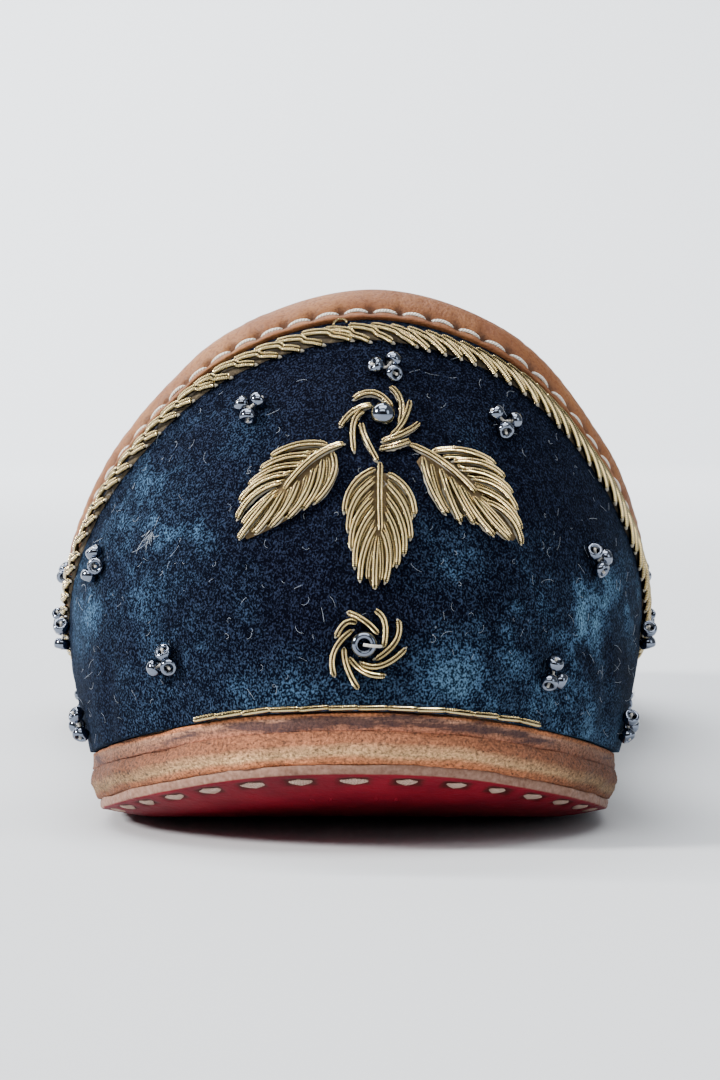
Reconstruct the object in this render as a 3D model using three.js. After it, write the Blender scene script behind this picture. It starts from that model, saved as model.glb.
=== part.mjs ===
import * as THREE from 'three';

// A mojari: a low slip-on shoe of velvet over leather, on a thin layered leather sole.
// Millimetres. The heel is at -Y, the toe at +Y, +Z is up and the floor is Z = 0.

// Lengths and widths, measured over the upper
const shoeLength = 250;
const heelWidth = 66;
const ballWidth = 85;

// Heights of the topline over the sole: at the back, at its lowest on the side, at the throat
const backHeight = 49;
const sideHeight = 15;
const throatHeight = 44;

// The counter leans to one side by this much at its top, ever less lower down and further forward
const counterLean = 2.5;
const leanHeight = 50;
const leanLength = 120;

// The underside of the sole: how far it rises over the floor
const heelSpring = 8.1;
const toeSpring = 13;
const archRise = 2;
const edgeCurl = 0.9;
const springPower = 1.9;

// Thicknesses
const outsoleThick = 0.9;
const midsoleThick = 3;
const randThick = 1.5;
const insoleThick = 1.5;
const wall = 2;
const braidThick = 1;
const wireThick = 0.8;
const motifThick = 0.8;

// Trim at the topline: height of the bare leather roll and of the gold braid below it
const collarHeight = 4.6;
const collarProud = 0.5;
const braidHeight = 3.2;

// How far each layer of the sole stands in from the foot edge of the upper
const outsoleInset = 1.3;
const outsoleFlare = 0.2;
const midsoleInset = 0.2;
const midsoleTuck = 0.4;
const midsoleBulge = 0.3;
const randInset = 0.4;

// Clearance between pieces that touch
const fitGap = 0.3;

// Fineness of the faceted solids
const stepsPerStation = 4;
const wallSteps = 10;

const heelHalf = heelWidth / 2;
const ballHalf = ballWidth / 2;

// Where the sole touches the floor and where it bends, as shares of the length from the back
const heelFlat = { from: 0.18, to: 0.32 };
const ballFlat = { from: 0.58, to: 0.72 };

// One row for each section of the wall, from the middle of the back to the middle of the toe.
// half and rise are the sizes that the row follows. foot is [across, along], and low, high and
// top are [across, along, up]: shares of half, of the length and of rise. A section is a curve
// from the foot to the top that low and high pull outwards.
const wallRows = [
  { half: heelHalf, rise: backHeight, foot: [0, 0.003],
    low: [0, -0.008, 0.31], high: [0, 0.026, 0.64], top: [0, 0.08, 1] },
  { half: heelHalf, rise: backHeight, foot: [0.39, 0.014],
    low: [0.44, 0.004, 0.27], high: [0.48, 0.037, 0.6], top: [0.44, 0.088, 0.92] },
  { half: heelHalf, rise: backHeight, foot: [0.71, 0.054],
    low: [0.775, 0.049, 0.23], high: [0.81, 0.066, 0.49], top: [0.75, 0.106, 0.725] },
  { half: heelHalf, rise: backHeight, foot: [0.86, 0.102],
    low: [0.92, 0.098, 0.17], high: [0.97, 0.106, 0.355], top: [0.91, 0.136, 0.535] },
  { half: heelHalf, rise: sideHeight, foot: [0.89, 0.168],
    low: [0.935, 0.166, 0.41], high: [1, 0.172, 0.85], top: [0.97, 0.188, 1.24] },
  { half: heelHalf, rise: sideHeight, foot: [0.85, 0.256],
    low: [0.91, 0.256, 0.32], high: [0.97, 0.258, 0.69], top: [0.945, 0.262, 1] },
  { half: heelHalf, rise: sideHeight, foot: [0.82, 0.432],
    low: [0.94, 0.432, 0.33], high: [1.01, 0.416, 0.74], top: [0.955, 0.392, 1.08] },
  { half: ballHalf, rise: throatHeight, foot: [0.86, 0.604],
    low: [0.97, 0.604, 0.155], high: [1.01, 0.572, 0.4], top: [0.775, 0.52, 0.545] },
  { half: ballHalf, rise: throatHeight, foot: [0.93, 0.752],
    low: [1.04, 0.756, 0.215], high: [0.965, 0.688, 0.585], top: [0.6, 0.612, 0.79] },
  { half: ballHalf, rise: throatHeight, foot: [0.68, 0.916],
    low: [0.775, 0.932, 0.23], high: [0.61, 0.82, 0.635], top: [0.305, 0.664, 0.935] },
  { half: ballHalf, rise: throatHeight, foot: [0, 1],
    low: [0, 1.024, 0.31], high: [0, 0.848, 0.745], top: [0, 0.684, 1] },
];

// The embroidered motif, drawn about 30 units wide: distances across and down from the middle of
// the upper flower. A leaf runs from its stem to its tip.
const motifUnits = 30;
const flowers = [
  { name: 'flower_upper', across: 0, down: 0, radius: 4, petals: 8, bead: 1.5 },
  { name: 'flower_lower', across: -2.1, down: 22.9, radius: 3.9, petals: 9, bead: 1.4 },
];
const leaves = [
  { name: 'leaf_left', stem: [-4, 2.7], tip: [-15, 12.6], half: 3.1 },
  { name: 'leaf_centre', stem: [-0.4, 4], tip: [-0.8, 17.8], half: 3.6 },
  { name: 'leaf_right', stem: [3, 2.5], tip: [14.7, 12.9], half: 3.1 },
];
const heelMotif = { across: heelWidth * 0.044, up: backHeight * 0.914, unit: heelWidth * 0.455 / motifUnits };
const vampMotif = { across: 0, fromThroat: shoeLength * 0.072, unit: ballWidth * 0.459 / motifUnits };

const colours = {
  redLeather: 0x8a1c28,
  tanLeather: 0xb27a58,
  brownLeather: 0xa8745a,
  velvet: 0x1c3046,
  gold: 0xb79a5e,
  lining: 0xc2a283,
};

// Height of the underside over the floor at a share of the length: the back and the toe spring
// up as powers of the distance past the flats, and the arch is a squared sine between them
function underside(share) {
  const back = Math.max(0, (heelFlat.from - share) / heelFlat.from);
  const front = Math.max(0, (share - ballFlat.to) / (1 - ballFlat.to));
  const waist = THREE.MathUtils.clamp((share - heelFlat.to) / (ballFlat.from - heelFlat.to), 0, 1);
  return heelSpring * back ** springPower
    + toeSpring * front ** springPower
    + archRise * Math.sin(Math.PI * waist) ** 2;
}

const shareAt = (y) => (y + shoeLength / 2) / shoeLength;

// Levels of the sole's layers over the underside
const midsoleLevel = outsoleThick + fitGap;
const randLevel = midsoleLevel + midsoleThick + fitGap;
const footLevel = randLevel + randThick + fitGap;

// A point of a row, its height counted from the sole below it
function rowPoint(row, [across, along, up = 0]) {
  return new THREE.Vector3(across * row.half, (along - 0.5) * shoeLength, up * row.rise);
}

// The rows become four closed loops round the shoe: the far side mirrors the near one
const halfLoop = wallRows.map((row) => [row.foot, row.low, row.high, row.top].map((p) => rowPoint(row, p)));
const mirrored = halfLoop
  .slice(1, -1)
  .reverse()
  .map((points) => points.map((p) => new THREE.Vector3(-p.x, p.y, p.z)));
const stations = [...halfLoop, ...mirrored];
const around = stations.length * stepsPerStation;

// A smooth curve through one of the four loops, u counted in stations from the back
function loopPoint(level, u) {
  const whole = Math.floor(u);
  const f = u - whole;
  const [a, b, c, d] = [-1, 0, 1, 2].map((step) => {
    const k = (whole + step + 2 * stations.length) % stations.length;
    return stations[k][level];
  });
  const weights = [
    (-f + 2 * f * f - f ** 3) / 2,
    (2 - 5 * f * f + 3 * f ** 3) / 2,
    (f + 4 * f * f - 3 * f ** 3) / 2,
    (f ** 3 - f * f) / 2,
  ];
  return new THREE.Vector3()
    .addScaledVector(a, weights[0])
    .addScaledVector(b, weights[1])
    .addScaledVector(c, weights[2])
    .addScaledVector(d, weights[3]);
}

// The outer face of the upper: round the shoe by u, from the foot edge (0) to the topline (1)
function wallPoint(u, v) {
  const w = 1 - v;
  const p = loopPoint(0, u).multiplyScalar(w ** 3)
    .addScaledVector(loopPoint(1, u), 3 * v * w * w)
    .addScaledVector(loopPoint(2, u), 3 * v * v * w)
    .addScaledVector(loopPoint(3, u), v ** 3);
  const fade = THREE.MathUtils.clamp(1 - (p.y + shoeLength / 2) / leanLength, 0, 1);
  p.x += counterLean * Math.min(1, p.z / leanHeight) ** 2 * fade;
  p.z += underside(shareAt(p.y)) + edgeCurl + footLevel;
  return p;
}

// The outward normal. At the foot edge it is level, so that the wall stands flat on the sole.
function wallNormal(u, v) {
  const step = 0.01;
  const low = Math.max(0, v - step);
  const high = Math.min(1, v + step);
  const along = wallPoint(u + step, v).sub(wallPoint(u - step, v));
  const up = wallPoint(u, high).sub(wallPoint(u, low));
  const normal = along.cross(up);
  normal.z *= Math.min(1, v / 0.12);
  return normal.normalize();
}

const offWall = (u, v, out) => wallPoint(u, v).addScaledVector(wallNormal(u, v), out);

// The v that lies a given distance below the topline, measured down the wall
function belowTop(u, distance) {
  const pieces = 60;
  let travelled = 0;
  let last = wallPoint(u, 1);
  for (let i = 1; i <= pieces; i += 1) {
    const next = wallPoint(u, 1 - i / pieces);
    const leg = next.distanceTo(last);
    if (travelled + leg >= distance) {
      return 1 - (i - 1 + (distance - travelled) / leg) / pieces;
    }
    travelled += leg;
    last = next;
  }
  return 0;
}

// A mesh from points and triangles, wound so that its faces point out
function solid(name, points, triangles, colour, roughness, metalness = 0) {
  const position = new Float32Array(points.flatMap((p) => [p.x, p.y, p.z]));
  const volume = triangles.reduce((sum, [a, b, c]) => {
    const cross = new THREE.Vector3().crossVectors(points[b], points[c]);
    return sum + points[a].dot(cross);
  }, 0);
  const wound = volume > 0 ? triangles : triangles.map(([a, b, c]) => [a, c, b]);
  const geometry = new THREE.BufferGeometry();
  geometry.setAttribute('position', new THREE.BufferAttribute(position, 3));
  geometry.setIndex(wound.flat());
  geometry.computeVertexNormals();
  const material = new THREE.MeshStandardMaterial({ color: colour, roughness, metalness });
  const mesh = new THREE.Mesh(geometry, material);
  mesh.name = name;
  return mesh;
}

// Triangles between rings of equal count; closed joins the last ring to the first
function bandTriangles(rings, count, closed) {
  const triangles = [];
  const bands = closed ? rings : rings - 1;
  for (let i = 0; i < bands; i += 1) {
    const next = (i + 1) % rings;
    for (let j = 0; j < count; j += 1) {
      const a = i * count + j;
      const b = i * count + (j + 1) % count;
      const c = next * count + (j + 1) % count;
      const d = next * count + j;
      triangles.push([a, b, c], [a, c, d]);
    }
  }
  return triangles;
}

// A fan over one ring from a middle point
function fanTriangles(first, count, middle, flip) {
  return Array.from({ length: count }, (_, j) => {
    const a = first + j;
    const b = first + (j + 1) % count;
    return flip ? [middle, b, a] : [middle, a, b];
  });
}

// A section carried right round the shoe
function roundTheShoe(name, sectionAt, colour, roughness, metalness) {
  const sections = Array.from({ length: around }, (_, i) => sectionAt(i / stepsPerStation));
  const triangles = bandTriangles(around, sections[0].length, true);
  return solid(name, sections.flat(), triangles, colour, roughness, metalness);
}

// The upper: up the outer face to the collar seat and down the inner face
function upper() {
  const section = (u) => {
    const top = belowTop(u, collarHeight);
    const levels = Array.from({ length: wallSteps + 1 }, (_, j) => (top * j) / wallSteps);
    const outer = levels.map((v) => offWall(u, v, 0));
    const inner = levels.reverse().map((v) => offWall(u, v, -wall));
    return [...outer, ...inner];
  };
  return roundTheShoe('upper', section, colours.velvet, 0.95);
}

// The leather roll over the top edge, as [share of its height from the top, distance outwards]
function collar() {
  const roll = collarHeight - fitGap;
  const middle = -wall / 2;
  const half = wall / 2 + collarProud;
  const profile = [
    [1, middle + half * 0.8],
    [0.75, middle + half],
    [0.3, middle + half],
    [0.08, middle + half * 0.7],
    [0, middle],
    [0.08, middle - half * 0.7],
    [0.3, middle - half],
    [0.75, middle - half],
    [1, middle - half * 0.8],
  ];
  const section = (u) => profile.map(([share, out]) => offWall(u, belowTop(u, share * roll), out));
  return roundTheShoe('collar_binding', section, colours.tanLeather, 0.6);
}

// The gold braid, raised on the velvet just below the collar
function braid() {
  const first = collarHeight + fitGap / 2;
  const base = fitGap;
  const profile = [
    [1, base],
    [0.95, base + braidThick * 0.6],
    [0.7, base + braidThick],
    [0.3, base + braidThick],
    [0.05, base + braidThick * 0.6],
    [0, base],
  ];
  const section = (u) => profile.map(([share, out]) => {
    const v = belowTop(u, first + share * braidHeight + (out > base ? fitGap : 0));
    return offWall(u, v, out);
  });
  return roundTheShoe('topline_braid', section, colours.gold, 0.35, 0.8);
}

// The foot edge in plan, moved inwards by a distance
function footOutline(inset) {
  return Array.from({ length: around }, (_, i) => {
    const u = i / stepsPerStation;
    return offWall(u, 0, -inset);
  });
}

// A layer of the sole. edges are [share of the thickness, inset] up its side. Inside the edge
// the layer is level from side to side, and its edge curls up.
function soleLayer(name, level, thick, edges, colour, roughness) {
  const flatAcross = 0.8;
  const flatAlong = 0.93;
  const widest = footOutline(edges[0][1]);
  const inner = widest.map((p) => [p.x * flatAcross, p.y * flatAlong]);
  const place = (x, y, share, curl) => {
    const z = underside(shareAt(y)) + level + share * thick + curl;
    return new THREE.Vector3(x, y, z);
  };
  const rings = [
    inner.map(([x, y]) => place(x, y, 0, 0)),
    ...edges.map(([share, inset]) => footOutline(inset).map((p) => place(p.x, p.y, share, edgeCurl))),
    inner.map(([x, y]) => place(x, y, 1, 0)),
  ];
  const triangles = bandTriangles(rings.length, around, false);
  const top = (rings.length - 1) * around;
  for (let i = 0; i < around / 2; i += 1) {
    const left = (around - i) % around;
    const nextLeft = around - i - 1;
    if (i > 0) {
      triangles.push([i, left, i + 1], [top + i, top + i + 1, top + left]);
    }
    if (i + 1 < around / 2) {
      triangles.push([left, nextLeft, i + 1], [top + left, top + i + 1, top + nextLeft]);
    }
  }
  return solid(name, rings.flat(), triangles, colour, roughness);
}

function soleLayers() {
  const bulge = midsoleInset - midsoleBulge;
  return [
    soleLayer('outsole', 0, outsoleThick,
      [[0, outsoleInset], [1, outsoleInset - outsoleFlare]], colours.redLeather, 0.5),
    soleLayer('midsole', midsoleLevel, midsoleThick,
      [[0, midsoleInset + midsoleTuck], [0.25, bulge], [0.75, bulge], [1, midsoleInset]], colours.brownLeather, 0.85),
    soleLayer('rand', randLevel, randThick, [[0, randInset], [1, randInset]], colours.tanLeather, 0.7),
    soleLayer('insole', footLevel, insoleThick,
      [[0, wall + fitGap], [1, wall + fitGap]], colours.lining, 0.7),
  ];
}

// A thin gold wire where the back of the upper meets the sole
function baseWire() {
  const ends = { from: -1.3, to: 1.55 };
  const sides = 6;
  const sections = Array.from({ length: 25 }, (_, i) => {
    const u = THREE.MathUtils.lerp(ends.from, ends.to, i / 24);
    const seat = offWall(u, 0, fitGap + wireThick / 2);
    const out = wallNormal(u, 0);
    return Array.from({ length: sides }, (__, j) => {
      const turn = (2 * Math.PI * j) / sides;
      const p = seat.clone().addScaledVector(out, (Math.cos(turn) * wireThick) / 2);
      p.z += ((1 + Math.sin(turn)) * wireThick) / 2;
      return p;
    });
  });
  const points = sections.flat();
  const middle = (ring) => ring.reduce((sum, p) => sum.add(p), new THREE.Vector3()).divideScalar(sides);
  const last = points.length - sides;
  points.push(middle(sections[0]), middle(sections[sections.length - 1]));
  const triangles = [
    ...bandTriangles(sections.length, sides, false),
    ...fanTriangles(0, sides, points.length - 2, true),
    ...fanTriangles(last, sides, points.length - 1, false),
  ];
  return solid('heel_base_wire', points, triangles, colours.gold, 0.35, 0.8);
}

// The place on the wall where two of its coordinates have given values, by Newton's method
function findOnWall(start, keys, wanted) {
  let [u, v] = start;
  const step = 1e-4;
  for (let turn = 0; turn < 20; turn += 1) {
    const p = wallPoint(u, v);
    const pu = wallPoint(u + step, v);
    const pv = wallPoint(u, v + step);
    const error = keys.map((k, i) => p[k] - wanted[i]);
    const [a, c] = keys.map((k) => (pu[k] - p[k]) / step);
    const [b, d] = keys.map((k) => (pv[k] - p[k]) / step);
    const det = a * d - b * c;
    u -= (d * error[0] - b * error[1]) / det;
    v -= (a * error[1] - c * error[0]) / det;
  }
  return [u, v];
}

// Motif distances laid on the back of the heel, as seen from behind, and on the vamp from above
function onHeel(across, down) {
  const x = heelMotif.across + across * heelMotif.unit;
  const z = heelMotif.up - down * heelMotif.unit;
  return findOnWall([0.1, 0.5], ['x', 'z'], [x, z]);
}

function onVamp(across, down) {
  const throat = stations[wallRows.length - 1][3].y;
  const x = vampMotif.across + across * vampMotif.unit;
  const y = throat + vampMotif.fromThroat + down * vampMotif.unit;
  return findOnWall([wallRows.length - 1, 0.6], ['x', 'y'], [x, y]);
}

// A raised patch: rings of [across, down, height over the wall], closed below and above
function patch(name, place, rings) {
  const count = rings[0].length;
  const seat = ([across, down, out]) => {
    const [u, v] = place(across, down);
    return offWall(u, v, fitGap + out);
  };
  const points = rings.flat().map(seat);
  const middleOf = (ring) => {
    const sum = ring.reduce((s, p) => [s[0] + p[0], s[1] + p[1], s[2] + p[2]], [0, 0, 0]);
    return sum.map((value) => value / ring.length);
  };
  points.push(seat(middleOf(rings[0])), seat(middleOf(rings[rings.length - 1])));
  const triangles = [
    ...bandTriangles(rings.length, count, false),
    ...fanTriangles(0, count, points.length - 2, true),
    ...fanTriangles((rings.length - 1) * count, count, points.length - 1, false),
  ];
  return solid(name, points, triangles, colours.gold, 0.35, 0.8);
}

// A pointed leaf: its half width is a skewed sine of the way from the stem to the tip
function leaf(prefix, place, { name, stem, tip, half }) {
  const steps = 9;
  const run = [tip[0] - stem[0], tip[1] - stem[1]];
  const length = Math.hypot(...run);
  const side = [-run[1] / length, run[0] / length];
  const edge = (share, sign, shrink, out) => {
    const along = 0.5 + (share - 0.5) * shrink;
    const wide = half * shrink * Math.sin(Math.PI * share ** 0.85) ** 0.9 * sign;
    return [stem[0] + run[0] * along + side[0] * wide, stem[1] + run[1] * along + side[1] * wide, out];
  };
  const ring = (shrink, out) => [
    ...Array.from({ length: steps }, (_, i) => edge(i / steps, 1, shrink, out)),
    ...Array.from({ length: steps }, (_, i) => edge(1 - i / steps, -1, shrink, out)),
  ];
  return patch(`${prefix}_${name}`, place,
    [ring(1, 0), ring(0.97, motifThick * 0.6), ring(0.5, motifThick)]);
}

// A pinwheel flower: a low lobed disc with a bead in the middle
function flower(prefix, place, { name, across, down, radius, petals, bead }) {
  const count = petals * 3;
  const ring = (size, lobe, out) => Array.from({ length: count }, (_, i) => {
    const turn = (2 * Math.PI * i) / count;
    const r = size * (1 + lobe * Math.cos(petals * turn));
    return [across + r * Math.cos(turn), down + r * Math.sin(turn), out];
  });
  return patch(`${prefix}_${name}`, place, [
    ring(radius * 0.92, 0.1, 0),
    ring(radius * 0.88, 0.1, motifThick),
    ring(bead, 0, motifThick),
    ring(bead, 0, motifThick + bead * 0.7),
    ring(bead * 0.6, 0, motifThick + bead * 1.1),
  ]);
}

const group = new THREE.Group();
group.add(...soleLayers(), upper(), collar(), braid(), baseWire());
for (const [prefix, place] of [['heel', onHeel], ['vamp', onVamp]]) {
  for (const row of flowers) {
    group.add(flower(prefix, place, row));
  }
  for (const row of leaves) {
    group.add(leaf(prefix, place, row));
  }
}

// The origin is the middle of the whole shoe, on the floor
const extent = new THREE.Box3().setFromObject(group);
group.position.y = -(extent.min.y + extent.max.y) / 2;

export default group;
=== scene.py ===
import math
import bpy
import numpy as np
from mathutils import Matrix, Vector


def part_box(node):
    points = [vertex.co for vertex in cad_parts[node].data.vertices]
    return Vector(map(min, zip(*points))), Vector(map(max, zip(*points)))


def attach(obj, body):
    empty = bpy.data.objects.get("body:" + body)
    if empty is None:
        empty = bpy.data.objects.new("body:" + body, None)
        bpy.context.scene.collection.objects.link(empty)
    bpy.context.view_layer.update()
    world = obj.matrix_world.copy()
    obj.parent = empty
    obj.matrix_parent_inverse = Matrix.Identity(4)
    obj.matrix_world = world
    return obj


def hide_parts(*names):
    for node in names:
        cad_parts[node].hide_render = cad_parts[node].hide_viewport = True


# A velvet mojari with gold wire embroidery, seen from behind and low down.
# Everything is worked out in millimetres and put into meshes in metres.
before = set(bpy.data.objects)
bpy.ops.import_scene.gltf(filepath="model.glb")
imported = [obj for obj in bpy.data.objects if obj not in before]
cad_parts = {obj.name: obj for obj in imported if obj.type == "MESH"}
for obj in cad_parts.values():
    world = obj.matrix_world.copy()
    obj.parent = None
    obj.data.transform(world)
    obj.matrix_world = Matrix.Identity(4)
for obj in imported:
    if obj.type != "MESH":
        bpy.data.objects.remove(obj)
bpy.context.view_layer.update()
chance = np.random.default_rng(11)
print("frame loaded")

# Sizes of the shoe, those of the frame: heel at -Y, toe at +Y
shoe = {
    "length": 250, "lean": 2.5, "leanHeight": 50, "leanLength": 120,
    "heelSpring": 8.1, "toeSpring": 13, "archRise": 2, "edgeCurl": 0.9, "springPower": 1.9,
    "heelFlatFrom": 0.18, "heelFlatTo": 0.32, "ballFlatFrom": 0.58, "ballFlatTo": 0.72,
    "footLevel": 6.3, "wall": 2, "collar": 4.6, "throatY": 46,
}

# Sections of the wall from the middle of the back to the middle of the toe: half width and rise,
# then the foot, low, high and top points, each as shares across, along and up
wallRows = np.array([
    [33, 49, 0, 0.003, 0, 0, -0.008, 0.31, 0, 0.026, 0.64, 0, 0.08, 1],
    [33, 49, 0.39, 0.014, 0, 0.44, 0.004, 0.27, 0.48, 0.037, 0.6, 0.44, 0.088, 0.92],
    [33, 49, 0.71, 0.054, 0, 0.775, 0.049, 0.23, 0.81, 0.066, 0.49, 0.75, 0.106, 0.725],
    [33, 49, 0.86, 0.102, 0, 0.92, 0.098, 0.17, 0.97, 0.106, 0.355, 0.91, 0.136, 0.535],
    [33, 15, 0.89, 0.168, 0, 0.935, 0.166, 0.41, 1, 0.172, 0.85, 0.97, 0.188, 1.24],
    [33, 15, 0.85, 0.256, 0, 0.91, 0.256, 0.32, 0.97, 0.258, 0.69, 0.945, 0.262, 1],
    [33, 15, 0.82, 0.432, 0, 0.94, 0.432, 0.33, 1.01, 0.416, 0.74, 0.955, 0.392, 1.08],
    [42.5, 44, 0.86, 0.604, 0, 0.97, 0.604, 0.155, 1.01, 0.572, 0.4, 0.775, 0.52, 0.545],
    [42.5, 44, 0.93, 0.752, 0, 1.04, 0.756, 0.215, 0.965, 0.688, 0.585, 0.6, 0.612, 0.79],
    [42.5, 44, 0.68, 0.916, 0, 0.775, 0.932, 0.23, 0.61, 0.82, 0.635, 0.305, 0.664, 0.935],
    [42.5, 44, 0, 1, 0, 0, 1.024, 0.31, 0, 0.848, 0.745, 0, 0.684, 1],
])
rowCount = len(wallRows)
rowScale = np.stack([wallRows[:, 0], np.full(rowCount, shoe["length"]), wallRows[:, 1]], -1)
nearSide = (wallRows[:, 2:].reshape(rowCount, 4, 3) - [0, 0.5, 0]) * rowScale[:, None]
farSide = nearSide[-2:0:-1] * [-1, 1, 1]
stations = np.concatenate([nearSide, farSide]).transpose(1, 0, 2)
stationCount = stations.shape[1]


# Vectors divided by their own lengths
def unit(vectors):
    return vectors / np.maximum(np.linalg.norm(vectors, axis=-1, keepdims=True), 1e-9)


# Rise of the underside: powers of the distance past the flats, and a squared sine for the arch
def underside(y):
    share = y / shoe["length"] + 0.5
    back = np.maximum(0, (shoe["heelFlatFrom"] - share) / shoe["heelFlatFrom"])
    front = np.maximum(0, (share - shoe["ballFlatTo"]) / (1 - shoe["ballFlatTo"]))
    waist = np.clip((share - shoe["heelFlatTo"]) / (shoe["ballFlatFrom"] - shoe["heelFlatTo"]), 0, 1)
    return (shoe["heelSpring"] * back ** shoe["springPower"]
            + shoe["toeSpring"] * front ** shoe["springPower"]
            + shoe["archRise"] * np.sin(math.pi * waist) ** 2)


# Outer face of the upper: Catmull-Rom round the shoe by u, cubic Bezier up the wall by v
def wallPoint(u, v):
    u, v = np.broadcast_arrays(np.asarray(u, float), np.asarray(v, float))
    whole = np.floor(u).astype(int)
    f = (u - whole)[..., None]
    weights = np.concatenate([-f + 2 * f ** 2 - f ** 3, 2 - 5 * f ** 2 + 3 * f ** 3,
                              f + 4 * f ** 2 - 3 * f ** 3, f ** 3 - f ** 2], -1) / 2
    near = (whole[..., None] + np.arange(-1, 3)) % stationCount
    loops = (stations[:, near] * weights[..., None]).sum(-2)
    w = 1 - v
    bend = np.stack([w ** 3, 3 * v * w * w, 3 * v * v * w, v ** 3])[..., None]
    p = (loops * bend).sum(0)
    fade = np.clip(1 - (p[..., 1] + shoe["length"] / 2) / shoe["leanLength"], 0, 1)
    p[..., 0] += shoe["lean"] * np.minimum(1, p[..., 2] / shoe["leanHeight"]) ** 2 * fade
    p[..., 2] += underside(p[..., 1]) + shoe["edgeCurl"] + shoe["footLevel"]
    return p


# Point, outward normal, direction round the shoe and direction up the wall, by finite differences
def wallFrame(u, v):
    step = 0.01
    u, v = np.broadcast_arrays(np.asarray(u, float), np.asarray(v, float))
    level = np.clip(v, 0, 1)
    along = wallPoint(u + step, level) - wallPoint(u - step, level)
    up = wallPoint(u, np.minimum(1, level + step)) - wallPoint(u, np.maximum(0, level - step))
    normal = np.cross(along, up)
    normal[..., 2] *= np.clip(v / 0.12, 0, 1)
    return wallPoint(u, v), unit(normal), unit(along), unit(up)


# Points of the wall moved out along its normal
def offWall(u, v, out):
    point, normal, _, _ = wallFrame(u, v)
    return point + normal * np.asarray(out)[..., None]


# Length travelled along each line of points, from 0
def lengthAlong(lines):
    leg = np.linalg.norm(np.diff(lines, axis=-2), axis=-1)
    return np.concatenate([np.zeros((*leg.shape[:-1], 1)), np.cumsum(leg, -1)], -1)


# The v that lies each distance below the topline, from lengths summed down the wall
def belowTop(u, distances):
    legs = 60
    u = np.asarray(u, float)
    distances = np.broadcast_to(np.asarray(distances, float), (len(u), np.shape(distances)[-1]))
    line = wallPoint(u[:, None], np.linspace(1, 0, legs + 1))
    leg = np.linalg.norm(np.diff(line, axis=1), axis=-1)
    travelled = lengthAlong(line)
    index = np.clip((travelled[:, None] <= distances[..., None]).sum(-1) - 1, 0, legs - 1)
    rest = (distances - np.take_along_axis(travelled, index, 1)) / np.take_along_axis(leg, index, 1)
    return 1 - (index + rest) / legs


# A line round the shoe at a distance below the topline, or along the foot edge if it is None:
# its u against the length travelled
def lineRound(distance):
    u = np.linspace(0, stationCount, 2401)
    v = belowTop(u, [distance])[:, 0] if distance is not None else np.zeros_like(u)
    return u, lengthAlong(wallPoint(u, v))


# The u of points at equal lengths along a line round the shoe
def evenly(line, count):
    u, travelled = line
    return np.interp(np.arange(count) / count * travelled[-1], travelled, u)


# Distance to the nearest of the marks that repeat at a pitch
def toNearest(travelled, pitch):
    return np.abs((travelled + pitch / 2) % pitch - pitch / 2)


# Soft step from 1 down to 0: a logistic curve
def softStep(distance, width):
    return 1 / (1 + np.exp(distance / width))


# Where two of the wall's coordinates have wanted values, by Newton's method
def findOnWall(start, axes, wanted):
    step = 1e-4
    u = np.full(wanted.shape[:-1], float(start[0]))
    v = np.full(wanted.shape[:-1], float(start[1]))
    for _ in range(16):
        here = wallPoint(u, v)[..., axes]
        du = (wallPoint(u + step, v)[..., axes] - here) / step
        dv = (wallPoint(u, v + step)[..., axes] - here) / step
        error = here - wanted
        det = du[..., 0] * dv[..., 1] - du[..., 1] * dv[..., 0]
        u = u - np.clip((error[..., 0] * dv[..., 1] - dv[..., 0] * error[..., 1]) / det, -0.6, 0.6)
        v = v - np.clip((du[..., 0] * error[..., 1] - du[..., 1] * error[..., 0]) / det, -0.2, 0.2)
    return u, v


# Smooth unevenness: a sum of sine waves in random directions with about the given wavelength, divided
# so that it varies by about one
def ripple(points, size, seed, waves=22):
    dice = np.random.default_rng(seed)
    ways = unit(dice.normal(size=(waves, 3))) * 2 * math.pi
    ways = ways / (size * dice.uniform(0.7, 1.5, (waves, 1)))
    phase = dice.uniform(0, 2 * math.pi, waves)
    return np.sin(points @ ways.T + phase).sum(-1) / math.sqrt(waves / 2)


# The frame's origin is the middle of the whole shoe: how far its own y stands from the one used here,
# found at the points of the upper's own grid
cadU = np.arange(80) / 4
cadV = belowTop(cadU, [shoe["collar"]]) * np.linspace(0, 1, 11)
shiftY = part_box("upper")[0].y * 1000 - wallPoint(cadU[:, None], cadV)[..., 1].min()
footLine = lineRound(None)
perimeter = footLine[1][-1]
print("shoe surface ready, shift", round(float(shiftY), 3))


# A body is points, face arrays, uv and named values; its faces are turned to point out
def body(points, faces, uv=None, values=None):
    points = points.reshape(-1, 3)
    volume = 0
    for quads in faces:
        for j in range(1, quads.shape[1] - 1):
            a, b, c = points[quads[:, 0]], points[quads[:, j]], points[quads[:, j + 1]]
            volume += (a * np.cross(b, c)).sum()
    faces = faces if volume > 0 else [quads[:, ::-1] for quads in faces]
    uv = np.zeros((len(points), 2)) if uv is None else uv.reshape(-1, 2)
    return {"points": points, "faces": faces, "uv": uv, "values": values or {}}


# Several bodies as one: their arrays end to end, with the faces' numbers moved on
def joined(bodies):
    starts = np.cumsum([0] + [len(b["points"]) for b in bodies])
    names = bodies[0]["values"]
    return {
        "points": np.concatenate([b["points"] for b in bodies]),
        "faces": [f + first for b, first in zip(bodies, starts) for f in b["faces"]],
        "uv": np.concatenate([b["uv"] for b in bodies]),
        "values": {name: np.concatenate([b["values"][name] for b in bodies]) for name in names},
    }


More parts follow.
